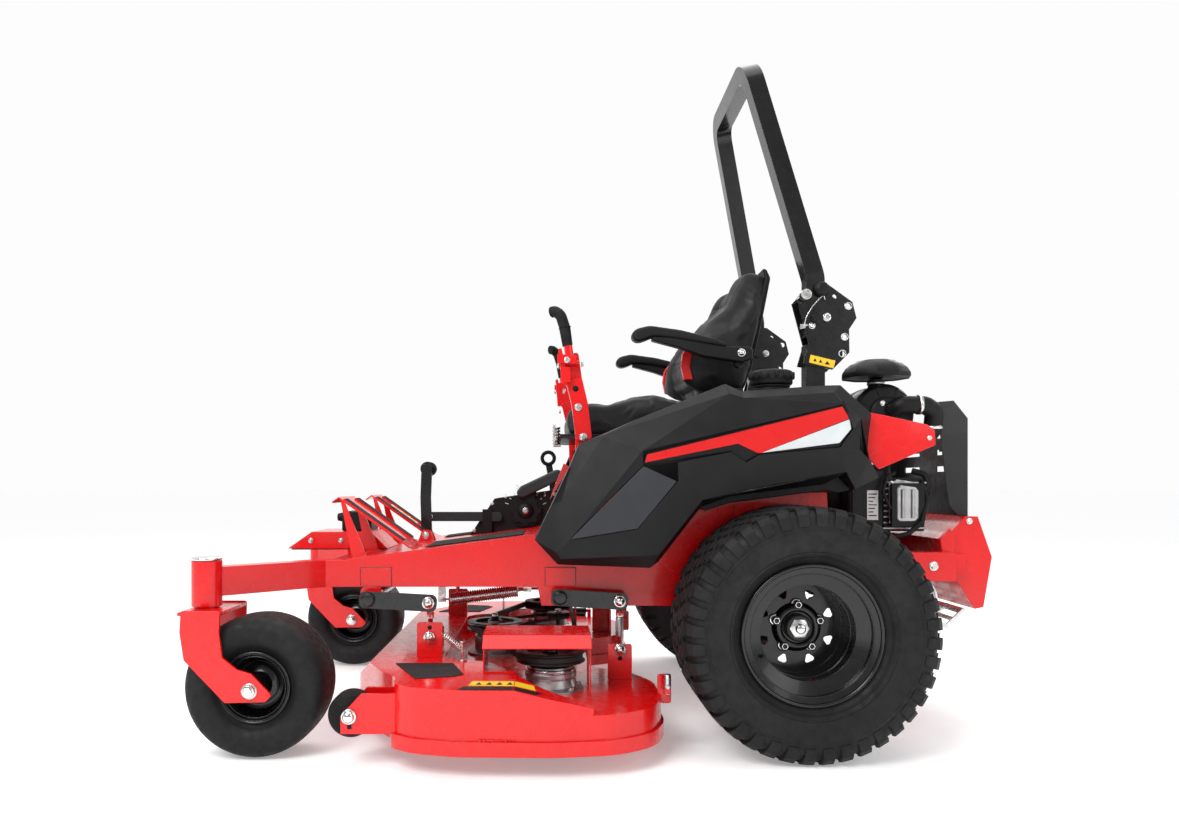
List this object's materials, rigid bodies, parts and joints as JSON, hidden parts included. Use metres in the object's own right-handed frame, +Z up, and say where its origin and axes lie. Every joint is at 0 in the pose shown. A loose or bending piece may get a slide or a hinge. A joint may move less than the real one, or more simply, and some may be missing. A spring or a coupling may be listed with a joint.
{
  "type": "zero turn mower",
  "caption": "Ride-on zero turn mower with lifting cutter deck, swivelling front casters, drive wheels, folding roll bar, sprung seat and twin control levers.",
  "frame": {"origin": "on the ground under the middle of the overall length and width", "axes": "+X to the rear of the machine, +Y to the operator's right, +Z up"},
  "size_m": [2.1106, 1.7935, 1.8839],
  "materials": {
    "red_paint": "gloss powder coat",
    "black_paint": "gloss powder coat",
    "cover_plastic": "textured moulded",
    "black_plastic": "satin",
    "tyre_rubber": "matt moulded",
    "seat_vinyl": "grained vinyl",
    "foam_grip": "matt foam",
    "zinc": "zinc plated",
    "dark_steel": "satin powder coat",
    "engine_black": "satin",
    "belt_rubber": "cloth covered",
    "alloy": "cast"
  },
  "bodies": {
    "chassis": {"main_frame": "red_paint", "front_cover": "red_paint", "footplate": "red_paint", "engine_plate": "red_paint", "rear_bumper": "red_paint", "rear_guard": "dark_steel", "left_fender": "cover_plastic", "right_fender": "cover_plastic", "rear_arm_brackets": "red_paint", "engine": "engine_black", "air_cleaner": "engine_black", "muffler": "zinc", "rops_posts": "black_paint", "seat_suspension": "dark_steel", "hydro_drives": "dark_steel", "dial_console": "black_plastic", "lift_spring": "zinc"},
    "deck": {"deck_shell": "red_paint", "belt_covers": "red_paint", "deck_hangers": "red_paint", "spindle_housings": "alloy", "deck_belt": "belt_rubber"},
    "left_caster_fork_body": {"left_caster_fork": "red_paint"},
    "left_caster_wheel": {"left_caster_tyre": "tyre_rubber", "left_caster_rim": "black_paint"},
    "left_rear_wheel": {"left_rear_tyre": "tyre_rubber", "left_rear_rim": "black_paint"},
    "right_caster_fork_body": {"right_caster_fork": "red_paint"},
    "right_caster_wheel": {"right_caster_tyre": "tyre_rubber", "right_caster_rim": "black_paint"},
    "right_rear_wheel": {"right_rear_tyre": "tyre_rubber", "right_rear_rim": "black_paint"},
    "front_lift": {"front_lift_shaft": "black_paint"},
    "rear_lift": {"rear_lift_shaft": "black_paint"},
    "pedal": {"lift_pedal": "black_paint"},
    "strap": {"lift_strap": "black_paint"},
    "dial": {"height_dial": "black_plastic"},
    "brake": {"brake_lever": "black_paint"},
    "left_lever": {"left_lever_base": "red_paint"},
    "left_grip": {"left_lever_grip": "foam_grip"},
    "right_lever": {"right_lever_base": "red_paint"},
    "right_grip": {"right_lever_grip": "foam_grip"},
    "seat_base": {"seat_pan": "dark_steel", "seat_cushion": "seat_vinyl"},
    "backrest": {"seat_back": "seat_vinyl"},
    "left_arm": {"left_armrest": "foam_grip"},
    "right_arm": {"right_armrest": "foam_grip"},
    "rops_bar": {"rops_hoop": "black_paint"},
    "left_pin": {"left_rops_pin": "zinc"},
    "left_cap": {"left_fuel_cap": "black_plastic"},
    "left_roller_body": {"left_roller": "foam_grip"},
    "right_pin": {"right_rops_pin": "zinc"},
    "right_cap": {"right_fuel_cap": "black_plastic"},
    "right_roller_body": {"right_roller": "foam_grip"},
    "centre_rotor": {"centre_blade": "dark_steel"},
    "left_rotor": {"left_blade": "dark_steel"},
    "right_rotor": {"right_blade": "dark_steel"},
    "pto": {"pto_pulley": "dark_steel"},
    "idler": {"idler_arm": "dark_steel"},
    "chute": {"discharge_chute": "black_plastic"}
  },
  "joints": [
    {"name": "left_caster_swivel", "type": "hinge", "parent": "chassis", "child": "left_caster_fork_body", "pos_m": [-1.01875, -0.67, 0.41], "axis": [0, 0, 1], "continuous": true},
    {"name": "left_caster_spin", "type": "hinge", "parent": "left_caster_fork_body", "child": "left_caster_wheel", "pos_m": [-0.88175, -0.67, 0.172], "axis": [0, 1, 0], "continuous": true},
    {"name": "left_wheel_spin", "type": "hinge", "parent": "chassis", "child": "left_rear_wheel", "pos_m": [0.44825, -0.665, 0.305], "axis": [0, 1, 0], "continuous": true},
    {"name": "right_caster_swivel", "type": "hinge", "parent": "chassis", "child": "right_caster_fork_body", "pos_m": [-1.01875, 0.46, 0.41], "axis": [0, 0, 1], "continuous": true},
    {"name": "right_caster_spin", "type": "hinge", "parent": "right_caster_fork_body", "child": "right_caster_wheel", "pos_m": [-0.88175, 0.46, 0.172], "axis": [0, 1, 0], "continuous": true},
    {"name": "right_wheel_spin", "type": "hinge", "parent": "chassis", "child": "right_rear_wheel", "pos_m": [0.44825, 0.455, 0.305], "axis": [0, 1, 0], "continuous": true},
    {"name": "deck_lift", "type": "slide", "parent": "chassis", "child": "deck", "axis": [0, 0, 1], "range_m": [0, 0.065]},
    {"name": "front_lift_swing", "type": "hinge", "parent": "chassis", "child": "front_lift", "pos_m": [-0.65175, -0.105, 0.355], "axis": [0, -1, 0], "range_deg": [0, 24]},
    {"name": "rear_lift_swing", "type": "hinge", "parent": "chassis", "child": "rear_lift", "pos_m": [-0.14175, -0.105, 0.361], "axis": [0, -1, 0], "range_deg": [0, 24]},
    {"name": "pedal_push", "type": "hinge", "parent": "chassis", "child": "pedal", "pos_m": [-0.55875, -0.02, 0.5], "axis": [0, -1, 0], "range_deg": [0, 23]},
    {"name": "strap_pull", "type": "slide", "parent": "chassis", "child": "strap", "axis": [-1, 0, 0], "range_m": [0, 0.023]},
    {"name": "dial_turn", "type": "hinge", "parent": "chassis", "child": "dial", "pos_m": [-0.24375, 0, 0.578], "axis": [0, 1, 0], "range_deg": [-45, 45]},
    {"name": "brake_swing", "type": "hinge", "parent": "chassis", "child": "brake", "pos_m": [-0.15175, 0.185, 0.6], "axis": [0, 1, 0], "range_deg": [0, 30]},
    {"name": "left_lever_drive", "type": "hinge", "parent": "chassis", "child": "left_lever", "pos_m": [-0.07775, -0.445, 0.79], "axis": [0, 1, 0], "range_deg": [-16, 16]},
    {"name": "left_lever_swing", "type": "hinge", "parent": "left_lever", "child": "left_grip", "pos_m": [-0.12275, -0.465, 0.99], "axis": [1, 0, 0], "range_deg": [0, 25]},
    {"name": "right_lever_drive", "type": "hinge", "parent": "chassis", "child": "right_lever", "pos_m": [-0.07775, 0.235, 0.79], "axis": [0, 1, 0], "range_deg": [-16, 16]},
    {"name": "right_lever_swing", "type": "hinge", "parent": "right_lever", "child": "right_grip", "pos_m": [-0.12275, 0.255, 0.99], "axis": [-1, 0, 0], "range_deg": [0, 25]},
    {"name": "seat_tilt", "type": "hinge", "parent": "chassis", "child": "seat_base", "pos_m": [-0.07175, -0.105, 0.778], "axis": [0, -1, 0], "range_deg": [0, 50]},
    {"name": "back_recline", "type": "hinge", "parent": "seat_base", "child": "backrest", "pos_m": [0.36425, -0.105, 0.846], "axis": [0, 1, 0], "range_deg": [0, 15]},
    {"name": "left_armrest_lift", "type": "hinge", "parent": "backrest", "child": "left_arm", "pos_m": [0.36325, -0.381, 1.027], "axis": [0, 1, 0], "range_deg": [0, 80]},
    {"name": "right_armrest_lift", "type": "hinge", "parent": "backrest", "child": "right_arm", "pos_m": [0.36325, 0.171, 1.027], "axis": [0, 1, 0], "range_deg": [0, 80]},
    {"name": "rops_fold", "type": "hinge", "parent": "chassis", "child": "rops_bar", "pos_m": [0.54925, -0.105, 1.112], "axis": [0, 1, 0], "range_deg": [0, 95]},
    {"name": "left_rops_pin_pull", "type": "slide", "parent": "chassis", "child": "left_pin", "axis": [0, -1, 0], "range_m": [0, 0.06]},
    {"name": "left_cap_turn", "type": "hinge", "parent": "chassis", "child": "left_cap", "pos_m": [0.41225, -0.535, 0.935], "axis": [0, 0, 1], "range_deg": [0, 120]},
    {"name": "left_roller_spin", "type": "hinge", "parent": "deck", "child": "left_roller_body", "pos_m": [-0.63675, -0.773, 0.123], "axis": [0, 1, 0], "continuous": true},
    {"name": "right_rops_pin_pull", "type": "slide", "parent": "chassis", "child": "right_pin", "axis": [0, 1, 0], "range_m": [0, 0.06]},
    {"name": "right_cap_turn", "type": "hinge", "parent": "chassis", "child": "right_cap", "pos_m": [0.41225, 0.325, 0.935], "axis": [0, 0, 1], "range_deg": [0, 120]},
    {"name": "right_roller_spin", "type": "hinge", "parent": "deck", "child": "right_roller_body", "pos_m": [-0.63675, 0.563, 0.123], "axis": [0, 1, 0], "continuous": true},
    {"name": "centre_blade_spin", "type": "hinge", "parent": "deck", "child": "centre_rotor", "pos_m": [-0.33675, -0.105, 0.16], "axis": [0, 0, 1], "continuous": true},
    {"name": "left_blade_spin", "type": "hinge", "parent": "deck", "child": "left_rotor", "pos_m": [-0.16775, -0.605, 0.16], "axis": [0, 0, 1], "continuous": true},
    {"name": "right_blade_spin", "type": "hinge", "parent": "deck", "child": "right_rotor", "pos_m": [-0.16775, 0.395, 0.16], "axis": [0, 0, 1], "continuous": true},
    {"name": "pto_spin", "type": "hinge", "parent": "chassis", "child": "pto", "pos_m": [0.69825, -0.105, 0.33], "axis": [0, 0, 1], "continuous": true},
    {"name": "idler_swing", "type": "hinge", "parent": "deck", "child": "idler", "pos_m": [-0.23175, 0.135, 0.2], "axis": [0, 0, 1], "range_deg": [-10, 4]},
    {"name": "chute_swing", "type": "hinge", "parent": "deck", "child": "chute", "pos_m": [-0.19175, 0.691, 0.16], "axis": [1, 0, 0], "range_deg": [0, 95]}
  ],
  "couplings": [
    {"joint": "front_lift_swing", "follows": "deck_lift", "rad_per_m": 6.4},
    {"joint": "rear_lift_swing", "follows": "deck_lift", "rad_per_m": 6.4},
    {"joint": "pedal_push", "follows": "deck_lift", "rad_per_m": 6.1},
    {"joint": "strap_pull", "follows": "deck_lift", "ratio": 0.35},
    {"joint": "left_blade_spin", "follows": "centre_blade_spin", "ratio": 1},
    {"joint": "right_blade_spin", "follows": "centre_blade_spin", "ratio": 1},
    {"joint": "pto_spin", "follows": "centre_blade_spin", "ratio": 1.6}
  ]
}
